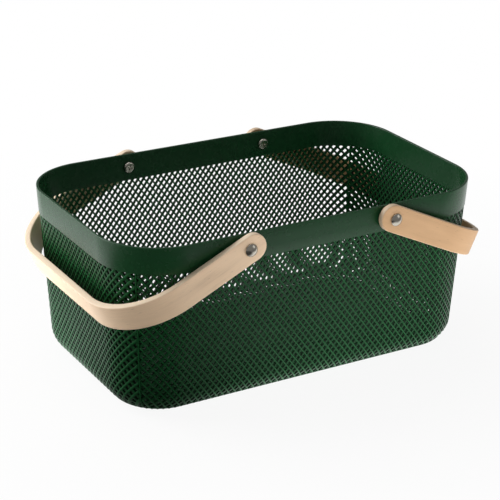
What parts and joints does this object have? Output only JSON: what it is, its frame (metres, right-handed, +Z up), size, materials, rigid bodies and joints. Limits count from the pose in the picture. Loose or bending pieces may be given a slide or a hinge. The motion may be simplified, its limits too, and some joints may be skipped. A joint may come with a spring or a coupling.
{
  "type": "mesh basket",
  "caption": "Rectangular green plastic mesh basket with rounded corners and two swinging bent-wood bail handles.",
  "frame": {"origin": "on the floor under the middle of the basket's base", "axes": "+X along the basket's long side, +Y from the front long wall to the back one, +Z up"},
  "size_m": [0.4024, 0.2568, 0.1679],
  "materials": {
    "green_plastic": "satin injection-moulded polypropylene, deep green",
    "bent_wood": "light bent wood, clear matt lacquer",
    "nickel_steel": "nickel-plated steel, polished",
    "dark_nylon": "dark moulded nylon"
  },
  "bodies": {
    "tub": {"basket": "green_plastic", "barrel_nut_front_left": "nickel_steel", "barrel_nut_front_right": "nickel_steel", "barrel_nut_back_left": "nickel_steel", "barrel_nut_back_right": "nickel_steel", "pivot_screw_front_left": "nickel_steel", "pivot_screw_front_right": "nickel_steel", "pivot_screw_back_left": "nickel_steel", "pivot_screw_back_right": "nickel_steel", "spacer_washer_front_left": "dark_nylon", "spacer_washer_front_right": "dark_nylon", "spacer_washer_back_left": "dark_nylon", "spacer_washer_back_right": "dark_nylon"},
    "right_bail": {"right_handle": "bent_wood"},
    "left_bail": {"left_handle": "bent_wood"}
  },
  "joints": [
    {"name": "right_handle_pivot", "type": "hinge", "parent": "tub", "child": "right_bail", "pos_m": [0.075, 0, 0.154], "axis": [0, -1, 0], "range_deg": [0, 143.5]},
    {"name": "left_handle_pivot", "type": "hinge", "parent": "tub", "child": "left_bail", "pos_m": [-0.075, 0, 0.154], "axis": [0, 1, 0], "range_deg": [0, 143.5]}
  ]
}
